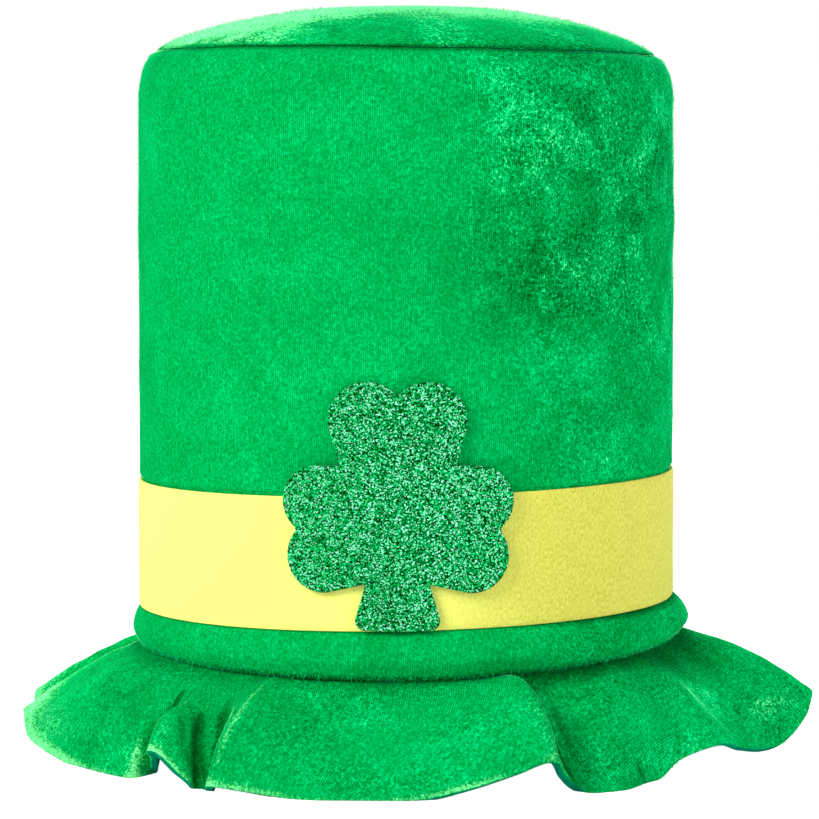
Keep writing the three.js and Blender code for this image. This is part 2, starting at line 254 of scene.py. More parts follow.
class BandSettings(bpy.types.PropertyGroup):
    width: length("Width", "Height of the band", 47.5)
    thickness: length("Thickness", "Thickness of the felt", 1.2)
    above_seam: length("Above seam", "From the brim seam at the back to the band's foot", 12.3)
    tilt: length("Tilt", "How much higher the band is on the right", 2)
    sink: length("Sink", "How deep the band presses into the padding", 1)
    sink_end: length("Sink end", "Height over which the padding comes out again", 2)
    end_gap: length("End gap", "Gap between the band's ends at the back", 1)
    felt: colour("Felt", "Colour of the felt", (0.92, 0.91, 0.2))
    # The darker felt, for darker fibres and also as painted shade on the band's right side
    dulled: colour("Rubbed felt", "Colour of the felt's darker fibres", (0.5, 0.48, 0.035))


class ShamrockSettings(bpy.types.PropertyGroup):
    height: length("Height", "From the stem's foot to the top of the upper leaf", 88)
    thickness: length("Thickness", "Thickness of the glitter foam", 2)
    extra_radius: length("Extra radius", "How much less than the crown it is bent", 24.3)
    to_the_left: length("To the left", "How far left of the middle it is glued", 2.8)
    flake: length("Flake", "Size of a flake of glitter", 0.45)
    # One green glitter painted in copies: dark flakes as painted shade, bright flakes and glints as
    # painted highlights
    dark: colour("Dark flakes", "Colour of flakes turned away", (0.0, 0.03, 0.001))
    foil: colour("Flakes", "Colour of most flakes", (0.0, 0.28, 0.04))
    bright: colour("Bright flakes", "Colour of flakes that catch the light", (0.0, 0.66, 0.17))
    painted_glint: colour("Glints", "Colour of the few flakes that flash", (0.36, 1.0, 0.7))


class StageSettings(bpy.types.PropertyGroup):
    distance: length("Distance", "From the camera to the crown's axis", 1340)
    eye_height: length("Eye height", "Height of the camera above the table", 223.3)
    aside: length("Aside", "How far right of the crown's axis the camera stands", 1.32)
    down: FloatProperty(
        name="Looking down", description="Angle of the camera below level",
        default=math.radians(4.18), unit="ROTATION",
    )
    lens: FloatProperty(name="Lens", description="Focal length", default=156.04, unit="CAMERA")
    ambient: share("Ambient", "Light from all round", 0.3, 10)
    key: power("Key", "Light from the left front", 27)
    back: power("Back", "Light from above behind", 36)
    fill: power("Fill", "Light from the right front", 11)
    table_glow: share("Table glow", "How much whiter the table looks than it is lit", 1.0)


def settings():
    scene = bpy.context.scene
    return scene.hat_crown, scene.hat_brim, scene.hat_band, scene.hat_shamrock


def flowing(xs, ys, at):
    """Reads columns of a table smoothly at given places, level at each crest and trough."""
    xs, ys, at = np.asarray(xs, float), np.asarray(ys, float), np.asarray(at, float)
    steps = np.diff(xs)
    slopes = np.diff(ys, axis=0) / steps[:, None]
    before, after = slopes[:-1], slopes[1:]
    same = before * after > 0
    inner = np.where(same, 2 * before * after / np.where(same, before + after, 1), 0)
    tangent = np.vstack([slopes[:1], inner, slopes[-1:]])
    row = np.clip(np.searchsorted(xs, at, side="right") - 1, 0, len(xs) - 2)
    s = ((at - xs[row]) / steps[row])[..., None]
    run = steps[row][..., None]
    return (
        ys[row] * (1 + 2 * s) * (1 - s) ** 2
        + ys[row + 1] * s * s * (3 - 2 * s)
        + tangent[row] * run * s * (1 - s) ** 2
        + tangent[row + 1] * run * s * s * (s - 1)
    )


def eased(low, high, value):
    """A soft step from 0 at low to 1 at high."""
    s = np.clip((value - low) / (high - low), 0, 1)
    return s * s * (3 - 2 * s)


def ripple(turn, along, wavelength, seed, count=28):
    """Gentle unevenness between -1 and 1 that closes up round the crown."""
    crown = settings()[0]
    random = np.random.default_rng(seed)
    total = np.zeros(np.broadcast(turn, along).shape)
    for _ in range(count):
        heading = random.uniform(0, 2 * math.pi)
        pace = 2 * math.pi / wavelength * random.uniform(0.6, 1.3)
        waves = round(pace * math.cos(heading) * crown.radius)
        start = random.uniform(0, 2 * math.pi)
        total += np.sin(waves * turn + pace * math.sin(heading) * along + start)
    return np.clip(total / math.sqrt(count), -1.5, 1.5) / 1.5


def unit(vectors):
    return vectors / np.linalg.norm(vectors, axis=-1, keepdims=True)


def walked(points, axis=0):
    """How far along its line each point lies, from 0 at the first one."""
    steps = np.linalg.norm(np.diff(points, axis=axis), axis=-1)
    return np.concatenate([0 * steps.take([0], axis), np.cumsum(steps, axis)], axis)


def around(turn, radius, height):
    """Points at a turn, a distance from the crown's axis and a height."""
    turn, radius, height = np.broadcast_arrays(turn, radius, height)
    return np.stack([AXIS.x + radius * np.sin(turn), AXIS.y - radius * np.cos(turn), height], -1)


def brim_seam(turn):
    crown = settings()[0]
    frontness = (1 + np.cos(turn)) / 2
    return crown.seam_height - crown.seam_dip * frontness**2 + crown.seam_tilt * np.sin(turn)


def top_seam(turn):
    crown = settings()[0]
    return crown.seam_height + crown.height - crown.top_tilt * np.sin(turn)


def seam_wave(turn):
    """How far the top seam wanders up and down."""
    return 0.3 * MM * ripple(turn, 0.0, 0.035, 61)


def band_foot(turn):
    crown, _, band, _ = settings()
    return crown.seam_height + band.above_seam + band.tilt * np.sin(turn)


def crushing(turn, along):
    """How crushed the nap is, from 0 to 1: hardly on the left, much on the right and behind."""
    upper = np.maximum(eased(130 * MM, 190 * MM, along), eased(1.5, 2.4, turn))
    right = eased(0.26 - 0.2 * upper, 0.75 - 0.3 * upper, turn) * (0.5 + 0.5 * upper)
    behind = eased(-2.2, -math.pi, turn)
    patches = 0.5 + 0.5 * ripple(turn, along, 0.05, 11)
    return np.clip(0.12 + 0.88 * (right + behind) * (0.45 + 0.75 * patches), 0, 1)


def put(name, data):
    """Sets a mesh, a light or a camera down in the scene."""
    thing = bpy.data.objects.new(name, data)
    bpy.context.scene.collection.objects.link(thing)
    return thing


def lay_flat(mesh, places):
    """Gives the corners of a mesh their places on the flat cloth."""
    mesh.uv_layers.new(name="cloth")
    mesh.uv_layers["cloth"].uv.foreach_set("vector", places.astype(np.float32).ravel())


def cloth_body(name, points, cloth, nap, closes, finishes, outer=None):
    """A closed body through columns of points, each column running down the outside and back.

    The columns close up round the hat, and the rows close up round the cloth unless closes is
    "poles", where the first and last row shrink to a point each. cloth gives each point's place
    on the flat cloth, one column more than the points have, for the seam. nap names numbers
    that the finishes read, given for the first rows and 0 on the others. The first finish is on
    the outer rows, and the second one on the rest.
    """
    columns, rows = points.shape[:2]
    steps = rows if closes == "rows" else rows - 1
    c, r = np.meshgrid(np.arange(columns), np.arange(steps), indexing="ij")
    c, r = c.ravel(), r.ravel()
    corners = [(c, r), (c + 1, r), (c + 1, r + 1), (c, r + 1)]
    faces = np.stack([(i % columns) * rows + j % rows for i, j in corners], -1)
    flat = np.stack([cloth[i, j % rows] for i, j in corners], 1)
    places = points.reshape(-1, 3)
    a, b, d = (places[faces[:, k]] for k in (0, 1, 3))
    # The volume is above 0 when all faces look outwards
    if (a * np.cross(b, d)).sum() <= 0:
        faces, flat = faces[:, ::-1], flat[:, ::-1]
    mesh = bpy.data.meshes.new(name)
    mesh.from_pydata(places, [], faces)
    lay_flat(mesh, flat)
    for label, values in nap.items():
        held = np.zeros((columns, rows), np.float32)
        held[:, : values.shape[1]] = values
        mesh.attributes.new(label, "FLOAT", "POINT").data.foreach_set("value", held.ravel())
    for material in finishes:
        mesh.materials.append(material)
    if outer:
        mesh.polygons.foreach_set("material_index", (r >= outer).astype(int))
    mesh.shade_smooth()
    mesh.update()
    if closes == "poles":
        weld_poles(mesh)
    return put(name, mesh)


def weld_poles(mesh):
    """Draws each pole's row of equal points together into one."""
    shape = bmesh.new()
    shape.from_mesh(mesh)
    bmesh.ops.remove_doubles(shape, verts=shape.verts, dist=1e-7)
    shape.to_mesh(mesh)
    shape.free()


def scattered(points, ways, rows, count, seed):
    """Random places on a run of a body's rows, and the directions given for them there."""
    random = np.random.default_rng(seed)
    column = random.integers(0, len(points), count)
    row = random.integers(rows[0], rows[1], count)
    ahead, below = (column + 1) % len(points), row + 1
    s, d = random.random((2, count, 1))
    near = points[column, row] * (1 - d) + points[column, below] * d
    far = points[ahead, row] * (1 - d) + points[ahead, below] * d
    row = np.minimum(row, ways.shape[1] - 1)
    return near * (1 - s) + far * s, ways[column, row]


def pile(name, body, out, along, kinds, node):
    """Fibres of the nap that stand out from the cloth, each a thin closed spike.

    out and along are directions at the body's points. kinds gives, for each kind of fibre, its
    run of rows, how many there are, how far they lean out and along, their length in
    millimetres and a seed.
    """
    random = np.random.default_rng(7)
    spikes = []
    for rows, count, outward, onward, size, seed in kinds:
        roots, lean = scattered(body, outward * out + onward * along, rows, count, seed)
        lean = unit(unit(lean) + STRAY * random.normal(size=roots.shape))
        side = unit(np.cross(lean, random.normal(size=roots.shape)))
        third = np.cross(lean, side)
        base = roots - FIBRE_ROOT * lean
        tip = roots + size * MM * random.uniform(0.5, 1.1, (len(roots), 1)) * lean
        foot = [
            base + FIBRE_RADIUS * (math.cos(angle) * side + math.sin(angle) * third)
            for angle in np.radians((0, 120, 240))
        ]
        spikes.append(np.stack([*foot, tip], 1).reshape(-1, 3))
    points = np.concatenate(spikes)
    points[:, 2] = np.maximum(points[:, 2], 0)
    start = np.arange(0, len(points), 4)[:, None, None]
    faces = (start + np.array([(0, 2, 1), (0, 1, 3), (1, 2, 3), (2, 0, 3)])).reshape(-1, 3)
    mesh = bpy.data.meshes.new(name)
    mesh.from_pydata(points, [], faces)
    mesh.materials.append(bpy.data.materials.get("nap_fibres") or nap_fibres())
    mesh.update()
    return dress(put(name, mesh), node)


def dress(piece, node):
    """Lets a piece stand for its solid in the frame."""
    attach(piece, "root")
    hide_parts(node)
    return piece


def new_tree(name, inputs, outputs):
    """A shared effect: a node group with named sockets."""
    tree = bpy.data.node_groups.new(name, "ShaderNodeTree")
    for label, kind, value in inputs:
        socket = tree.interface.new_socket(label, in_out="INPUT", socket_type="NodeSocket" + kind)
        if value is not None:
            socket.default_value = value
    for label, kind in outputs:
        tree.interface.new_socket(label, in_out="OUTPUT", socket_type="NodeSocket" + kind)
    return tree, tree.nodes.new("NodeGroupInput").outputs, tree.nodes.new("NodeGroupOutput").inputs


def opaque(dye):
    return (*dye, 1.0)


def wire(tree, sockets, values):
    """Links or sets sockets, given by name or number."""
    for key, value in values.items():
        if isinstance(value, bpy.types.NodeSocket):
            tree.links.new(value, sockets[key])
        elif sockets[key].type == "RGBA":
            sockets[key].default_value = opaque(value)
        else:
            sockets[key].default_value = value


def add(tree, kind, inputs=(), **options):
    """Adds a node, sets its options, and links or sets its inputs."""
    node = tree.nodes.new("ShaderNode" + kind)
    for option, value in options.items():
        setattr(node, option, value)
    wire(tree, node.inputs, dict(inputs))
    return node


def reckon(tree, operation, *values):
    """A number worked out from others."""
    return add(tree, "Math", enumerate(values), operation=operation).outputs[0]


def steer(tree, operation, *values):
    """A direction or a place worked out from others."""
    return add(tree, "VectorMath", enumerate(values), operation=operation).outputs[0]


def mottle(tree, place, scale, **more):
    """Soft lights and darks, scattered at random."""
    return add(tree, "TexNoise", {"Vector": place, "Scale": scale, **more}).outputs["Fac"]


def uneven_face(tree, height, strength, depth):
    """A face that goes up and down with a height, to that depth at most."""
    inputs = {"Height": height, "Strength": strength, "Distance": depth}
    return add(tree, "Bump", inputs).outputs[0]


def spread(tree, value, low, high, to_low=0.0, to_high=1.0):
    """A value's range eased on to another, and held inside it."""
    inputs = {"Value": value, 1: low, 2: high, 3: to_low, 4: to_high}
    return add(tree, "MapRange", inputs, interpolation_type="SMOOTHSTEP").outputs[0]


def blended(tree, factor, first, second):
    """A colour between two others."""
    inputs = {0: factor, 6: first, 7: second}
    return add(tree, "Mix", inputs, data_type="RGBA").outputs[2]


def dyed(tree, value, first, *others):
    """A colour read from a row of them, each given with its place from 0 to 1."""
    node = add(tree, "ValToRGB", {"Fac": value})
    stops = node.color_ramp.elements
    stops.remove(stops[-1])
    stops[0].position, stops[0].color = first[0], opaque(first[1])
    for place, dye in others:
        stops.new(place).color = opaque(dye)
    return node.outputs[0]


def knit_rib_group():
    """Fine ribs of a knitted pile, straight on the flat cloth and a little broken along it."""
    tree, given, gives = new_tree(
        "Knit ribs",
        [("Cloth", "Vector", None), ("Heading", "Float", 0.0), ("Pitch", "Float", 0.8 * MM)],
        [("Rib", "Float")],
    )
    turned = add(tree, "VectorRotate", {"Vector": given["Cloth"], "Angle": given["Heading"]},
                 rotation_type="Z_AXIS").outputs[0]
    parts = add(tree, "SeparateXYZ", {0: turned}).outputs
    drift = mottle(tree, turned, 60.0, Detail=1.0)
    across = reckon(tree, "MULTIPLY_ADD", drift, 1.2 * MM, parts[0])
    phase = reckon(tree, "DIVIDE", reckon(tree, "MULTIPLY", across, 2 * math.pi), given["Pitch"])
    wave = reckon(tree, "MULTIPLY_ADD", reckon(tree, "SINE", phase), 0.5, 0.5)
    squeezed = steer(tree, "MULTIPLY", turned, (900.0, 260.0, 0.0))
    broken = mottle(tree, squeezed, 1.0, Detail=1.0)
    dulled = spread(tree, broken, 0.25, 0.65, 0.35, 1.0)
    wire(tree, gives, {"Rib": reckon(tree, "MULTIPLY", wave, dulled)})
    return tree


def crushed_nap_group():
    """Lights and darks of a pile that leans this way and that, with fine grain all over."""
    tree, given, gives = new_tree(
        "Crushed nap",
        [("Place", "Vector", None), ("Crushed", "Float", 0.2), ("Grain", "Float", 1050.0),
         ("Patch", "Float", 75.0)],
        [("Lean", "Float"), ("Height", "Float")],
    )
    place, crushed = given["Place"], given["Crushed"]
    grain = mottle(tree, place, given["Grain"], Detail=1.0, Roughness=0.6, Distortion=0.3)
    worms = mottle(tree, place, given["Grain"], Detail=0.0, Distortion=1.6)
    patch = mottle(tree, place, given["Patch"], Detail=2.5, Roughness=0.5, Distortion=0.7)
    cloud = mottle(tree, place, 28.0, Detail=1.0)
    lean = 0.5
    for part, soft, hard in ((grain, 0.5, 0.25), (worms, 0.0, 1.15), (patch, 0.08, 0.8),
                             (cloud, 0.08, 0.6)):
        centred = reckon(tree, "SUBTRACT", part, 0.5)
        gain = reckon(tree, "MULTIPLY_ADD", crushed, hard, soft)
        lean = reckon(tree, "MULTIPLY_ADD", centred, gain, lean)
    height = reckon(tree, "MULTIPLY_ADD", worms, crushed, grain)
    wire(tree, gives, {"Lean": lean, "Height": height})
    return tree


def felt_fibre_group():
    """Matted fibres: soft streaks along the cloth's height, and small pits between them."""
    tree, given, gives = new_tree(
        "Felt fibres",
        [("Cloth", "Vector", None), ("Streak", "Float", 1500.0)],
        [("Fibre", "Float"), ("Pits", "Float")],
    )
    long_way = steer(tree, "MULTIPLY", given["Cloth"], (1.0, 0.5, 1.0))
    fibre = mottle(tree, long_way, given["Streak"], Detail=3.0, Distortion=0.5)
    pits = add(tree, "TexVoronoi", {"Vector": given["Cloth"], "Scale": given["Streak"]},
               feature="SMOOTH_F1").outputs["Distance"]
    wire(tree, gives, {"Fibre": fibre, "Pits": pits})
    return tree


def effect(tree, name, build, inputs):
    """Places the shared effect of that name, built the first time it is asked for."""
    shared = bpy.data.node_groups.get(name) or build()
    return add(tree, "Group", inputs, node_tree=shared).outputs


def new_finish(name, roughness):
    """An empty material with its shader, matt and without gloss."""
    material = bpy.data.materials.new(name)
    material.use_nodes = True
    tree = material.node_tree
    tree.nodes.clear()
    shader = add(tree, "BsdfPrincipled", {"Roughness": roughness, "Specular IOR Level": 0.0})
    add(tree, "OutputMaterial", {"Surface": shader.outputs[0]})
    return material, tree, shader.inputs


def velvet(name, heading, pitch, rib_depth, limb):
    """Crushed velvet: knit ribs under a pile whose lean makes it lighter or darker.

    It reads three numbers from the mesh. crushed, from 0 to 1, is how roughly the pile lies.
    The second paints shade where it is below 0, in seams, grooves and under overhangs, and paints a
    pale highlight where it is above 0, on ridges, creases and cut edges. The pale colour is also
    painted on as sheen where the cloth turns away by more than the share limb, sooner where the
    third number is above 0 and later where it is below 0.
    """
    crown = settings()[0]
    material, tree, shader = new_finish(name, 0.85)
    cloth = add(tree, "UVMap", uv_map="cloth").outputs[0]
    place = add(tree, "TexCoord").outputs["Object"]
    crushed, painted_light_and_shade, sheen_bias = (
        add(tree, "Attribute", attribute_name=label).outputs["Fac"]
        for label in ("crushed", "painted_light_and_shade", "sheen_bias")
    )
    ribs = effect(tree, "Knit ribs", knit_rib_group,
                  {"Cloth": cloth, "Heading": heading, "Pitch": pitch})
    nap = effect(tree, "Crushed nap", crushed_nap_group, {"Place": place, "Crushed": crushed})
    lean = reckon(tree, "MULTIPLY_ADD", ribs["Rib"], rib_depth,
                  reckon(tree, "SUBTRACT", nap["Lean"], rib_depth * 0.35))
    # Painted shade where the mesh's number is below 0, and a slight painted highlight where it is
    # above 0
    closed = reckon(tree, "MINIMUM", painted_light_and_shade, 0.0)
    lean = reckon(tree, "MULTIPLY_ADD", closed, 0.3, lean)
    leaning = dyed(tree, reckon(tree, "MULTIPLY_ADD", painted_light_and_shade, 0.1, lean),
                   (0.05, crown.shade), (0.5, crown.velvet), (0.95, crown.glow))
    # Painted sheen: the pale colour is laid on where the cloth turns away from the view, and on
    # painted highlights
    facing = add(tree, "LayerWeight", {"Blend": 0.5}).outputs["Facing"]
    turned = reckon(tree, "MULTIPLY_ADD", sheen_bias, 0.1, facing)
    sheen_share = reckon(tree, "MAXIMUM", spread(tree, turned, limb, 1.0), painted_light_and_shade)
    ragged = reckon(tree, "MULTIPLY_ADD", nap["Lean"], 1.2, sheen_share)
    painted_sheen = spread(tree, ragged, 0.95, 1.5)
    height = reckon(tree, "MULTIPLY_ADD", ribs["Rib"], 0.5, nap["Height"])
    wire(tree, shader, {
        "Base Color": blended(tree, painted_sheen, leaning, crown.painted_sheen),
        "Normal": uneven_face(tree, height, 0.3, 0.4 * MM),
        "Sheen Weight": 0.35,
        "Sheen Roughness": 0.25,
        "Sheen Tint": (0.03, 1.0, 0.45),
    })
    return material


def nap_fibres():
    """Single fibres of the pile, some in shade and some catching the light."""
    crown = settings()[0]
    material, tree, shader = new_finish("nap_fibres", 0.8)
    place = add(tree, "TexCoord").outputs["Object"]
    mixed = spread(tree, mottle(tree, place, 800.0), 0.35, 0.65)
    wire(tree, shader, {"Base Color": blended(tree, mixed, crown.velvet, crown.glow)})
    return material


def foam_backing():
    """Matt foam behind the velvet, seen on the brim's cut edge and underside."""
    brim = settings()[1]
    material, tree, shader = new_finish("foam_backing", 0.9)
    place = add(tree, "TexCoord").outputs["Object"]
    cells = add(tree, "TexVoronoi", {"Vector": place, "Scale": 1400.0}).outputs["Distance"]
    cloud = mottle(tree, place, 160.0)
    dark = [0.6 * part for part in brim.backing]
    tone = reckon(tree, "MULTIPLY_ADD", cloud, 0.6, reckon(tree, "MULTIPLY", cells, 0.5))
    wire(tree, shader, {
        "Base Color": blended(tree, spread(tree, tone, 0.3, 0.8), dark, brim.backing),
        "Normal": uneven_face(tree, cells, 0.4, 0.3 * MM),
    })
    return material


def outwards(turn, rows):
    """Level directions away from the crown's axis, the same on all rows."""
    away = around(turn, 1.0, 0.0) - around(turn, 0.0, 0.0)
    return np.broadcast_to(away, (len(turn), rows, 3))


def inside_of(outside, wall):
    """The same rows moved in by a wall's thickness, with both of its ends level."""
    along = unit(np.gradient(outside, axis=1))
    inner = outside + wall * np.stack([-along[..., 1], along[..., 0]], -1)
    inner[:, 0] = outside[:, 0] - (wall, 0)
    inner[:, -1] = outside[:, -1] - (wall, 0)
    return inner


def crown_outline(turn):
    """Outside of the crown wall from the brim seam up, as radius and height."""
    crown, _, band, _ = settings()
    seam, foot, top = brim_seam(turn), band_foot(turn), top_seam(turn)
    band_top = foot + band.width + crown.gap
    wall_foot, shoulder_foot = band_top + band.sink_end, top - crown.shoulder_height
    on_roll = np.linspace(0, 1, ROLL_ROWS)
    in_seat, rise, up, bend = (
        np.linspace(0, 1, count + 1)[1:]
        for count in (SEAT_ROWS, RISE_ROWS, WALL_ROWS, SHOULDER_ROWS)
    )
    roll, shoulder = np.asarray(ROLL), np.asarray(SHOULDER)
    swell, sunk = flowing(roll[:, 0], roll[:, 1:], on_roll).T
    turned_in = flowing(shoulder[:, 0], shoulder[:, 1:], bend)[:, 0]
    swelling = (crown.roll_depth + crown.roll_right * np.sin(turn)) * swell
    stretches = (
        (on_roll, swelling - band.sink * sunk, seam, foot),
        (in_seat, -band.sink, foot, band_top),
        (rise, -band.sink * (1 - eased(0, 1, rise)), band_top, wall_foot),
        (up, -crown.shoulder_depth * SHOULDER[0][1] * eased(0.6, 1, up), wall_foot, shoulder_foot),
        (bend, -crown.shoulder_depth * turned_in, shoulder_foot, top),
    )
    radius = [crown.radius + swells + 0 * (turn + way) for way, swells, _, _ in stretches]
    height = [low + (high - low) * way for way, _, low, high in stretches]
    return np.concatenate(radius, 1), np.concatenate(height, 1)


class HAT_OT_crown_side(bpy.types.Operator):
    """Builds the crown's padded wall, with its roll, the band's seat and the rounded shoulder"""

    bl_idname = "hat.crown_side"
    bl_label = "Crown wall"

    def execute(self, context):
        crown, _, band, _ = settings()
        turn = CROWN_TURNS
        radius, height = crown_outline(turn)
        outside = np.stack([radius, height], -1)
        # The plain inside needs only every tenth row
        inside = inside_of(outside[:, ::10], crown.wall)
        below_top = top_seam(turn) - height
        above_brim = height - brim_seam(turn)
        under_band = band_foot(turn) - height
        free = eased(0, 8 * MM, -under_band - band.width - band.sink_end)
        on_roll = eased(1 * MM, 4 * MM, above_brim) * eased(2 * MM, 6 * MM, under_band)
        crushed = crushing(turn, height)
        uneven = (0.25 * ripple(turn, height, 0.03, 3) + 0.08 * ripple(turn, height, 0.009, 4)) * MM
        outside[..., 0] += uneven * (free + on_roll) * (0.4 + crushed)
        sewn = eased(1.6 * MM, 0, (math.pi - np.abs(turn)) * crown.radius) * free
        outside[..., 0] -= 0.5 * MM * sewn
        outside[..., 1] += seam_wave(turn) * eased(6 * MM, 0, below_top)
        # Painted shade: darker in a broad patch on the right, along the brim seam, the back seam
        # and the top seam, and under the band, most on the right
        right = eased(0.2, 0.9, turn)
        in_shade = (
            0.2 * eased(0.05, 0.4, turn) * eased(1.2, 0.6, turn)
            * eased(145 * MM, 175 * MM, height) * eased(245 * MM, 215 * MM, height)
            + eased(2.4 * MM, 0.3 * MM, above_brim) + sewn
            + eased(1.4 * MM, 0.2 * MM, below_top) * (0.35 + 0.65 * eased(-1.2, -0.5, turn))
            + (0.5 + 0.5 * right) * eased((0.9 + 1.8 * right) * MM, 0, np.abs(under_band))
        )
        rows = np.concatenate([outside, inside[:, ::-1]], 1)
        points = around(turn, rows[..., 0], rows[..., 1])
        nap = {"crushed": crushed, "painted_light_and_shade": -np.minimum(in_shade, 1)}
        seamed = np.append(turn, [[math.pi]], 0)
        cloth = np.stack(np.broadcast_arrays(seamed * crown.radius, rows[:1, :, 1]), -1)
        finish = velvet("crown_velvet_cloth", 0.0, 0.78 * MM, 0.18, 0.88)
        outer = outside.shape[1]
        piece = cloth_body("crown_side_cloth", points, cloth, nap, "rows",
                           [finish, foam_backing()], outer)
        dress(piece, "crown_side")
        clear_of_band = ROLL_ROWS + SEAT_ROWS + RISE_ROWS + 5
        nap_piece = pile("crown_side_nap", points, outwards(turn, outer), UPWARD, (
            ((clear_of_band, outer - 2), 9000, 0.6, -0.8, 1.1, 1),
            ((0, 6), 4500, 0.5, -1.0, 1.3, 2),
            ((6, ROLL_ROWS - 2), 1500, 0.7, -0.7, 0.9, 3),
            ((outer - 5, outer - 1), 3000, 0.9, 0.5, 0.8, 4),
        ), "crown_side")
        return {"FINISHED"}


class HAT_OT_crown_top(bpy.types.Operator):
    """Builds the domed round panel that is sewn on along the top seam"""

    bl_idname = "hat.crown_top"
    bl_label = "Domed top"

    def execute(self, context):
        crown = settings()[0]
        turn = CROWN_TURNS
        rim = crown.radius - crown.shoulder_depth
        dome = np.asarray(DOME)
        # Rows from the centre to the rim, closest together at the rim
        reach = 1 - (1 - np.linspace(0, 1, 90)) ** 2
        rise = flowing(dome[:, 0], dome[:, 1:], reach)[:, 0]
        outside = np.stack([rim * reach, crown.dome_rise * rise], -1)[None]
        inside = inside_of(outside[:, ::-9], crown.wall)
        inside[:, -1] = outside[:, 0] - (0, crown.wall)
        rows = np.concatenate([outside, inside], 1)
        radius = np.broadcast_to(rows[..., 0], (len(turn), rows.shape[1]))
        level = top_seam(0.0) + crown.gap
        near_rim = np.minimum(radius / rim, 1)
        tilt = (top_seam(turn) - top_seam(0.0)) * near_rim**4 + seam_wave(turn) * near_rim**30
        height = level + rows[..., 1] + tilt
        crushed = np.clip(0.5 + 0.4 * ripple(turn, radius, 0.05, 21), 0, 1)
        across = np.stack([radius * np.sin(turn), -radius * np.cos(turn)], -1)
        cloth = np.concatenate([across, across[:1]], 0)
        points = around(turn, radius, height)
        # Painted light: shade along the top seam, and painted highlight and sheen on the dome's
        # left rim, with the sheen held back on its right
        from_seam = height - top_seam(turn)
        broad = (1.2 + 0.9 * eased(-0.3, 0.6, turn)) * MM
        at_seam = eased(broad, 0.4 * MM, from_seam) * (0.35 + 0.65 * eased(-1.2, -0.5, turn))
        across_hat = near_rim * np.sin(turn)
        leftward = eased(-0.1, -0.95, across_hat) * eased(-1.0, 0.1, near_rim * np.cos(turn))
        uneven = 0.85 + 0.3 * ripple(turn, radius, 0.014, 22)
        nap = {"crushed": crushed,
               "painted_light_and_shade": 0.85 * leftward * uneven * eased(0.3 * MM, 2 * MM, from_seam) - at_seam,
               "sheen_bias": leftward - eased(0.2, 0.9, across_hat)}
        finish = velvet("crown_velvet_top", math.radians(35), 0.9 * MM, 0.1, 0.68)
        outer = outside.shape[1]
        piece = cloth_body("crown_top_cloth", points, cloth, nap, "poles",
                           [finish, bpy.data.materials["foam_backing"]], outer)
        dress(piece, "crown_top")
        nap_piece = pile("crown_top_nap", points, outwards(turn, outer), UPWARD, (
            ((20, outer - 12), 7000, 0.5, 0.6, 1.2, 5),
            ((outer - 12, outer - 1), 5000, 1.0, 0.3, 1.0, 6),
        ), "crown_top")
        return {"FINISHED"}


def fold_at(degrees):
    """Swing, reach, lift and bow of the brim at turns given in degrees."""
    folds = np.asarray(FOLDS, float)
    before, after = folds[-3:] - (360, 0, 0, 0, 0), folds[:3] + (360, 0, 0, 0, 0)
    table = np.vstack([before, folds, after])
    return flowing(table[:, 0], table[:, 1:], degrees).T


def brim_middle(degrees, across):
    """Middle of the brim's cloth at turns and at shares of the way from the seam to the hem."""
    crown, brim, _, _ = settings()
    start, end = PINCHED
    first, last = fold_at(np.array(PINCHED)).T[..., None]
    unpinched = (first + (last - first) * eased(start, end, degrees))[..., None]
    inside = ((degrees > start) & (degrees < end))[:, None]
    share_of_fold = np.where(inside, eased(0.05, 0.8, across), 1.0)
    folds = fold_at(degrees)[..., None]
    swing, reach, lift, bow = unpinched + (folds - unpinched) * share_of_fold
    turn = np.radians(degrees)[:, None]
    root = (crown.radius - crown.wall * brim.inset, brim_seam(turn) - crown.gap - brim.cloth / 2)
    hem = (crown.radius + brim.spread * reach, brim.fold_height * lift - brim.flatten * (1 - lift))
    chord = (hem[0] - root[0], hem[1] - root[1])
    size = np.hypot(*chord)
    bulge = 4 * across * (1 - across) * brim.bow * bow
    radius = root[0] + chord[0] * across - chord[1] / size * bulge
    height = root[1] + chord[1] * across + chord[0] / size * bulge
    return around(turn + np.radians(swing) * across, radius, height)


def brim_columns(count):
    """Turns for the brim's columns, closer where the hem runs steeply up or down."""
    fine = np.linspace(-180, 180, 7201)
    hem = brim_middle(fine, np.array([0.6, 1.0]))
    done = walked(hem).sum(1)
    return np.interp(np.linspace(0, done[-1], count, endpoint=False), done, fine)


def creasing(degrees, across):
    """Height of the short creases, and their painted light (shade below 0, highlight above 0), at
    turns and shares.
    """
    height, painted_light_and_shade = np.zeros((2, len(degrees), len(across)))
    # The last column is each crease's painted light: below 0 painted shade, above 0 painted
    # highlight
    for start, first, end, last, half, rise, nap in CREASES:
        line = start + (end - start) * (across - first) / (last - first)
        shape = np.exp(-(((degrees[:, None] - line) / half) ** 2))
        shape *= eased(first - 0.05, first + 0.1, across) * eased(last + 0.1, last - 0.05, across)
        height += rise * MM * shape
        painted_light_and_shade += nap * shape
    return height, painted_light_and_shade


def bending(points, up, step):
    """How sharply a surface bends round the hat, as 1 / radius: above 0 on ridges."""
    ahead, behind = np.roll(points, -step, 0) - points, np.roll(points, step, 0) - points
    run = ((ahead - behind) ** 2).sum(2)
    return -4 * ((ahead + behind) * up).sum(2) / run


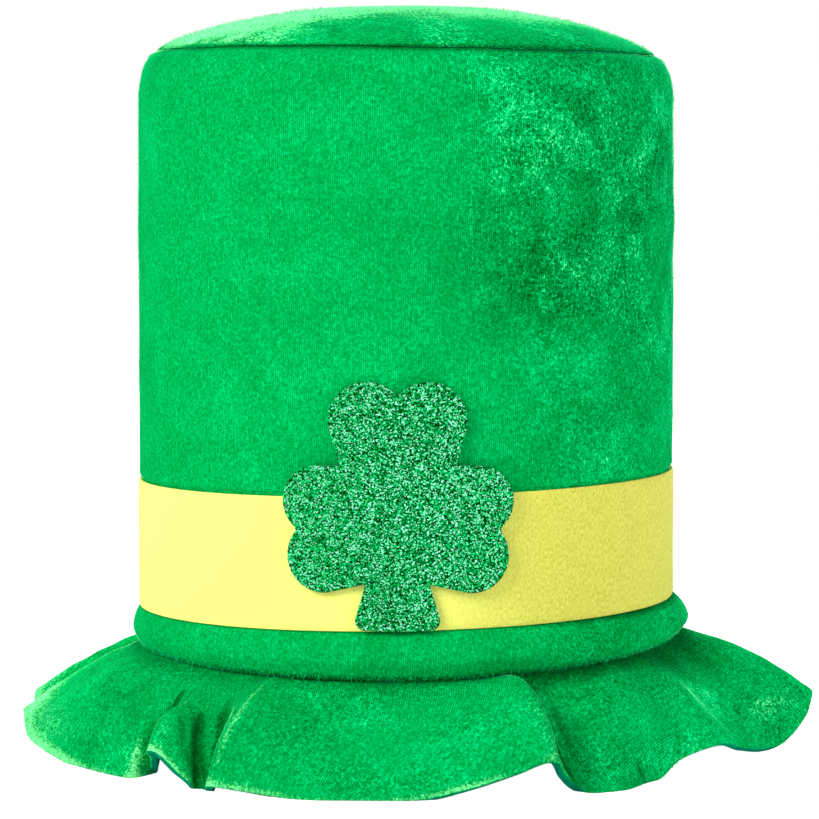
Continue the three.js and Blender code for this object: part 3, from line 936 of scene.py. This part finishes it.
def seam_allowance(degrees):
    """The brim's edge above its seam, turned up inside the crown's wall."""
    crown, brim, _, _ = settings()
    turn = np.radians(degrees)[:, None]
    root = crown.radius - crown.wall * brim.inset
    inner = crown.radius - crown.wall - crown.gap - brim.cloth / 2
    radius = inner + (root - inner) * np.array([0, 0, 0.12, 0.5])
    rise = np.array([5.0, 2.5, 0.2, -1.0]) * MM
    return around(turn, radius, brim_seam(turn) + rise)


class HAT_OT_brim(bpy.types.Operator):
    """Builds the gathered, ruffled brim with its cut edge and its backing"""

    bl_idname = "hat.brim"
    bl_label = "Ruffled brim"

    def execute(self, context):
        crown, brim, _, _ = settings()
        degrees = brim_columns(900)
        # Rows from the seam to the hem, closest together at the hem
        across = np.concatenate([np.linspace(0, 0.93, 40), np.linspace(0.945, 1, 5)])
        middle = np.concatenate([seam_allowance(degrees), brim_middle(degrees, across)], 1)
        across = np.concatenate([np.zeros(4), across])
        down = np.gradient(middle, axis=1)
        onward = np.roll(middle, -1, 0) - np.roll(middle, 1, 0)
        up = unit(np.cross(down, onward))
        turn = np.radians(degrees)[:, None]
        along = crown.radius * across[None] + 0 * turn
        uneven = 0.25 * MM * ripple(turn, along, 0.02, 31) * eased(0.02, 0.2, across)
        creases, crease_light = creasing(degrees, across)
        middle = middle + up * creases[..., None]
        half = brim.cloth / 2
        face = middle + up * (half + uneven)[..., None]
        # The plain underside needs only every sixth row
        under = (middle - up * half)[:, ::6]
        edge_out = unit(np.cross(onward[:, -1], up[:, -1]))
        edge_out *= np.sign((edge_out * down[:, -1]).sum(1))[:, None]
        # The cut edge, a little rounder in its middle
        levels = np.array([0.86, 0.5, 0.0, -0.5, -0.86]) * half
        bulge = np.array([0.10, 0.16, 0.18, 0.16, 0.10]) * half
        hem = middle[:, -1][:, None] + up[:, -1][:, None] * levels[None, :, None]
        hem = hem + edge_out[:, None] * bulge[None, :, None]
        points = np.concatenate([face, hem, under[:, ::-1]], 1)
        points[..., 2] = np.maximum(points[..., 2], 0)
        outer = face.shape[1]
        # On the flat ring each row lies as far out as the cloth runs from the seam to it
        out = brim.cut_radius + walked(middle, 1)
        out = np.pad(out, [(0, 1), (0, points.shape[1] - outer)], "edge")
        out[-1] = out[0]
        round_hat = walked(np.concatenate([points, points[:1]]))
        cut = 2 * math.pi * round_hat / round_hat[-1] - math.pi
        cloth = np.stack([out * np.sin(cut), -out * np.cos(cut)], -1)
        crushed = np.clip(0.3 + 0.25 * ripple(turn, along, 0.05, 41)
                          + 0.2 * eased(0.3, 0.9, turn), 0, 1)
        # Painted light: highlight on sharp ridges, creases, along the hem and on the left lobe;
        # shade in grooves, creases and under the roll
        bend = bending(middle, up, 4)
        ridges = eased(*RIDGE, bend) * eased(0.04, 0.2, across)
        grooves = eased(*GROOVE, bend)
        right = eased(0.1, 0.7, turn) * eased(2.6, 2.0, turn)
        under_roll = eased(0.2 + 0.35 * eased(0.8, 1.3, turn), 0.0, across) * (0.4 + 0.6 * right)
        patchy = 0.5 + 0.5 * ripple(turn, along, 0.04, 43)
        left = eased(-0.95, -1.4, turn) * eased(-2.1, -1.6, turn)
        brim_sheen = (0.35 + 0.35 * patchy) * eased(0.91, 1.0, across) * (1 - 0.8 * right)
        brim_sheen += left * (0.3 + 0.35 * patchy) * eased(0.4, 0.9, across)
        painted_light_and_shade = 0.22 * ridges + brim_sheen + crease_light - 0.9 * grooves - under_roll
        nap = {"crushed": crushed, "painted_light_and_shade": np.clip(painted_light_and_shade, -1, 0.75)}
        finish = velvet("brim_velvet_cloth", math.radians(25), 0.8 * MM, 0.26, 0.8)
        piece = cloth_body("brim_cloth", points, cloth, nap, "rows",
                           [finish, bpy.data.materials["foam_backing"]], outer)
        dress(piece, "brim")
        nap_piece = pile("brim_nap", points, up, unit(down), (
            ((8, outer - 6), 7000, 0.7, 0.7, 1.0, 8),
            ((outer - 5, outer + 1), 8000, 0.7, 1.2, 1.0, 9),
        ), "brim")
        return {"FINISHED"}


def band_felt():
    """Matt felt, full of small pits, with painted shade that darkens it towards the right."""
    crown, _, band, _ = settings()
    material, tree, shader = new_finish("band_felt_cloth", 0.95)
    cloth = add(tree, "UVMap", uv_map="cloth").outputs[0]
    felt = effect(tree, "Felt fibres", felt_fibre_group, {"Cloth": cloth})
    cloud = mottle(tree, cloth, 120.0, Detail=2.0)
    tone = reckon(tree, "MULTIPLY_ADD", cloud, 0.12, reckon(tree, "MULTIPLY", felt["Fibre"], 0.88))
    # Painted shade: the darker felt is laid on more and more towards the band's right side
    turn = reckon(tree, "DIVIDE", add(tree, "SeparateXYZ", {0: cloth}).outputs[0], crown.radius)
    painted_shade_right = spread(tree, reckon(tree, "SINE", turn), -0.2, 0.6, 0.05, 1.0)
    dulled = reckon(tree, "MULTIPLY", spread(tree, tone, 0.3, 0.75, 0.45, 1.0), painted_shade_right)
    height = reckon(tree, "MULTIPLY_ADD", felt["Pits"], 0.5, felt["Fibre"])
    wire(tree, shader, {
        "Base Color": blended(tree, dulled, band.felt, band.dulled),
        "Normal": uneven_face(tree, height, 0.3, 0.4 * MM),
        "Sheen Weight": 0.25,
        "Sheen Roughness": 0.6,
        "Sheen Tint": (1.0, 1.0, 0.6),
    })
    return material


class HAT_OT_band(bpy.types.Operator):
    """Builds the flat felt strip round the crown, its cut ends meeting at the back"""

    bl_idname = "hat.band"
    bl_label = "Felt band"

    def execute(self, context):
        crown, _, band, _ = settings()
        ends = math.pi - band.end_gap / 2 / crown.radius
        turn = np.linspace(-ends, ends, 721)[:, None]
        up = np.linspace(0, 1, 34)
        back = crown.radius - band.sink + crown.gap
        front = back + band.thickness
        # The felt's cut edges are a little rounded
        soft = 0.28 * band.thickness
        foot = band_foot(turn)
        lift = np.clip(up * band.width, soft * 0.3, band.width - soft * 0.3)
        from_edge = np.minimum(up, 1 - up) * band.width
        rounding = soft * (1 - np.sqrt(1 - np.clip(1 - from_edge / soft, 0, 1) ** 2))
        uneven = 0.1 * MM * ripple(turn, lift, 0.025, 51) * eased(0, 0.1, up) * eased(1, 0.9, up)
        outside = around(turn, front - rounding + uneven, foot + lift)
        edge = np.array([front - soft * 1.2, back + soft * 0.5])
        high = around(turn, edge, foot + band.width)
        inside = around(turn, back, foot + np.array([1.0, 0.66, 0.33, 0.0]) * band.width)
        low = around(turn, edge[::-1], foot)
        points = np.concatenate([outside, high, inside, low], 1)
        piece = felt_strip(points, turn, band_felt())
        dress(piece, "band")
        return {"FINISHED"}


def felt_strip(points, turn, finish):
    """A closed strip through columns of points, with an end face at each end."""
    crown = settings()[0]
    columns, rows = points.shape[:2]
    c, r = np.meshgrid(np.arange(columns - 1), np.arange(rows), indexing="ij")
    c, r = c.ravel(), r.ravel()
    corners = [(c, r), (c, (r + 1) % rows), (c + 1, (r + 1) % rows), (c + 1, r)]
    faces = [list(face) for face in np.stack([i * rows + j for i, j in corners], -1).tolist()]
    faces.append(list(range(rows))[::-1])
    faces.append([(columns - 1) * rows + j for j in range(rows)])
    mesh = bpy.data.meshes.new("band_strip")
    mesh.from_pydata(points.reshape(-1, 3), [], faces)
    index = np.zeros(len(mesh.loops), int)
    mesh.loops.foreach_get("vertex_index", index)
    place = np.stack(np.broadcast_arrays(turn * crown.radius, points[..., 2]), -1).reshape(-1, 2)
    lay_flat(mesh, place[index])
    mesh.materials.append(finish)
    mesh.shade_smooth()
    mesh.update()
    return put("band_strip", mesh)


def leaf_outline(step):
    """The shamrock's outline, clockwise from its top notch, in shares of its height."""
    half = []
    for x, y, radius, start, end in LEAVES:
        count = max(int(math.radians(start - end) * radius / step), 1) + 1 if radius else 1
        for angle in np.radians(np.linspace(start, end, count)):
            half.append((x + radius * math.cos(angle), y + radius * math.sin(angle)))
    left = [(-x, y) for x, y in half[-2:0:-1]]
    outline = np.asarray(half + left)
    closed = np.vstack([outline, outline[:1]])
    done = walked(closed)
    at = np.linspace(0, done[-1], int(done[-1] / step), endpoint=False)
    return np.stack([np.interp(at, done, closed[:, k]) for k in (0, 1)], -1)


def glitter_group():
    """Flakes laid at random, each with its own tilt and its own painted brightness, from painted
    shade to painted glint.
    """
    tree, given, gives = new_tree(
        "Glitter flakes",
        [("Place", "Vector", None), ("Flakes", "Float", 1000.0), ("Tilt", "Float", 0.6)],
        [("Brightness", "Float"), ("Normal", "Vector")],
    )
    inputs = {"Vector": given["Place"], "Scale": given["Flakes"], "Randomness": 1.0}
    cells = add(tree, "TexVoronoi", inputs)
    parts = add(tree, "SeparateXYZ", {0: cells.outputs["Color"]}).outputs
    centred = steer(tree, "SUBTRACT", cells.outputs["Color"], (0.5, 0.5, 0.5))
    tilt = add(tree, "VectorMath", {0: centred, "Scale": given["Tilt"]}, operation="SCALE")
    normal = add(tree, "NewGeometry").outputs["Normal"]
    facing = steer(tree, "NORMALIZE", steer(tree, "ADD", normal, tilt.outputs[0]))
    wire(tree, gives, {"Brightness": parts[0], "Normal": facing})
    return tree


def glitter_foam():
    """Foam covered with green glitter, its flakes painted in shaded, plain, lit and glinting copies
    side by side.
    """
    shamrock = settings()[3]
    material, tree, shader = new_finish("shamrock_glitter_foam", 0.45)
    place = add(tree, "TexCoord").outputs["Object"]
    flakes = effect(tree, "Glitter flakes", glitter_group,
                    {"Place": place, "Flakes": 1 / shamrock.flake, "Tilt": 1.1})
    # Painted light: each flake's random brightness picks a shaded, plain, lit or glinting copy of
    # the green
    foil = dyed(tree, flakes["Brightness"], (0.22, shamrock.dark), (0.5, shamrock.foil),
                (0.75, shamrock.bright), (0.98, shamrock.painted_glint))
    wire(tree, shader, {"Base Color": foil, "Normal": flakes["Normal"], "Metallic": 0.55})
    return material


class HAT_OT_shamrock(bpy.types.Operator):
    """Builds the three-leaved shamrock of glitter foam on the front of the band"""

    bl_idname = "hat.shamrock"
    bl_label = "Glitter shamrock"

    def execute(self, context):
        crown, _, band, shamrock = settings()
        outline = leaf_outline(step=0.0055)
        centre = np.array([0.0, 0.5])
        from_centre = (outline - centre)[:, None]
        # Rings from the middle of the leaves out, closest together at the cut edge
        ways = np.linspace(0, 1, 40) ** 0.8
        lean = math.asin(shamrock.to_the_left / crown.radius)
        bend = crown.radius + shamrock.extra_radius
        band_outside = crown.radius - band.sink + crown.gap + band.thickness
        back = max(crown.radius, band_outside) + crown.gap

        def bent(place, thickness):
            """Points at places on the leaves, bent round the front of the crown."""
            turn = place[..., 0] * shamrock.height / bend
            radius = bend + thickness
            x = radius * np.sin(turn)
            y = bend - back - radius * np.cos(turn)
            z = band_foot(0.0) + place[..., 1] * shamrock.height
            return np.stack([
                AXIS.x + x * math.cos(lean) + y * math.sin(lean),
                AXIS.y - x * math.sin(lean) + y * math.cos(lean),
                z,
            ], -1)

        rings = centre + from_centre * ways[None, :, None]
        # Both faces are a little smaller than the middle of the cut edge
        rounded = 0.994
        face = bent(rings, shamrock.thickness)
        face[:, -1] = bent(centre + (outline - centre) * rounded, shamrock.thickness)
        side = [bent(outline, shamrock.thickness * s) for s in (0.88, 0.5, 0.12)]
        rear = bent(centre + from_centre * ways[None, ::-6, None] * rounded, 0.0)
        rear = np.concatenate([rear, bent(rings[:, :1], 0.0)], 1)
        points = np.concatenate([face, np.stack(side, 1), rear], 1)
        cloth = np.concatenate([points, points[:1]])[..., [0, 2]]
        piece = cloth_body("shamrock_foam", points, cloth, {}, "poles", [glitter_foam()])
        dress(piece, "shamrock")
        return {"FINISHED"}


class HAT_OT_stage(bpy.types.Operator):
    """Sets the pale table, the soft studio light and the camera at the photo's angle"""

    bl_idname = "hat.stage"
    bl_label = "Table, light and camera"

    def execute(self, context):
        scene = context.scene
        stage = scene.hat_stage
        scene.view_settings.view_transform = "Standard"
        lay_table(stage)
        surround(scene, stage)
        shine("key_light", Vector((-1.05, -1.05, 0.9)), 0.8, stage.key)
        shine("back_light", Vector((0.1, 1.2, 0.9)), 0.9, stage.back)
        shine("fill_light", Vector((1.2, -0.9, 0.5)), 1.2, stage.fill)
        lens = bpy.data.cameras.new("camera")
        lens.lens = stage.lens
        lens.clip_start = 0.05
        camera = put("camera", lens)
        camera.location = (AXIS.x + stage.aside, AXIS.y - stage.distance, stage.eye_height)
        camera.rotation_euler = (math.pi / 2 - stage.down, 0, 0)
        scene.camera = camera
        return {"FINISHED"}


def lay_table(stage):
    """A plain white table, a hair below the hem."""
    mesh = bpy.data.meshes.new("table")
    half, below_hem = 6.0, 0.2 * MM
    corners = [(x * half, y * half, -below_hem) for x, y in ((-1, -1), (1, -1), (1, 1), (-1, 1))]
    mesh.from_pydata(corners, [], [(0, 1, 2, 3)])
    material, tree, shader = new_finish("table_paper", 0.9)
    place = add(tree, "TexCoord").outputs["Object"]
    white = blended(tree, mottle(tree, place, 3.0), (0.9, 0.9, 0.9), (0.93, 0.93, 0.93))
    seen = add(tree, "LightPath").outputs["Is Camera Ray"]
    wire(tree, shader, {
        "Base Color": white,
        "Emission Color": (1, 1, 1),
        "Emission Strength": reckon(tree, "MULTIPLY", seen, stage.table_glow),
    })
    mesh.materials.append(material)
    table = put("table", mesh)


def surround(scene, stage):
    """Soft light from all round, with a white backdrop for the camera."""
    world = bpy.data.worlds.new("studio")
    world.use_nodes = True
    tree = world.node_tree
    tree.nodes.clear()
    seen = add(tree, "LightPath").outputs["Is Camera Ray"]
    strength = spread(tree, seen, 0.0, 1.0, stage.ambient, 1.0)
    background = add(tree, "Background", {"Color": (1, 1, 1), "Strength": strength})
    add(tree, "OutputWorld", {"Surface": background.outputs[0]})
    scene.world = world


def shine(name, place, size, watts):
    """A square soft box at a place round the hat, turned to the crown above the band."""
    lamp = bpy.data.lights.new(name, "AREA")
    lamp.size = size
    lamp.energy = watts
    light = put(name, lamp)
    light.location = Vector((AXIS.x, AXIS.y, LIT_HEIGHT)) + place
    light.rotation_euler = (-place).to_track_quat("-Z", "Y").to_euler()


class HAT_PT_sidebar(bpy.types.Panel):
    """Lists the pieces of the hat and their sizes"""

    bl_label = "Costume Hat"
    bl_space_type = "VIEW_3D"
    bl_region_type = "UI"
    bl_category = "Hat"

    def draw(self, context):
        layout = self.layout
        for step in STEPS:
            layout.operator(step.bl_idname)
        for name, group in SETTINGS.items():
            box = layout.box()
            box.label(text=group.__name__.replace("Settings", ""))
            for prop in group.__annotations__:
                box.prop(getattr(context.scene, name), prop)


SETTINGS = {
    "hat_crown": CrownSettings,
    "hat_brim": BrimSettings,
    "hat_band": BandSettings,
    "hat_shamrock": ShamrockSettings,
    "hat_stage": StageSettings,
}

STEPS = (
    HAT_OT_crown_side,
    HAT_OT_crown_top,
    HAT_OT_brim,
    HAT_OT_band,
    HAT_OT_shamrock,
    HAT_OT_stage,
)


def register():
    for kind in (*SETTINGS.values(), *STEPS, HAT_PT_sidebar):
        bpy.utils.register_class(kind)
    for name, group in SETTINGS.items():
        setattr(bpy.types.Scene, name, PointerProperty(type=group))


def unregister():
    for name in SETTINGS:
        delattr(bpy.types.Scene, name)
    for kind in (HAT_PT_sidebar, *STEPS[::-1], *reversed(SETTINGS.values())):
        bpy.utils.unregister_class(kind)


def main():
    register()
    bpy.ops.hat.crown_side()
    bpy.ops.hat.crown_top()
    bpy.ops.hat.brim()
    bpy.ops.hat.band()
    bpy.ops.hat.shamrock()
    bpy.ops.hat.stage()


if __name__ == "__main__":
    main()
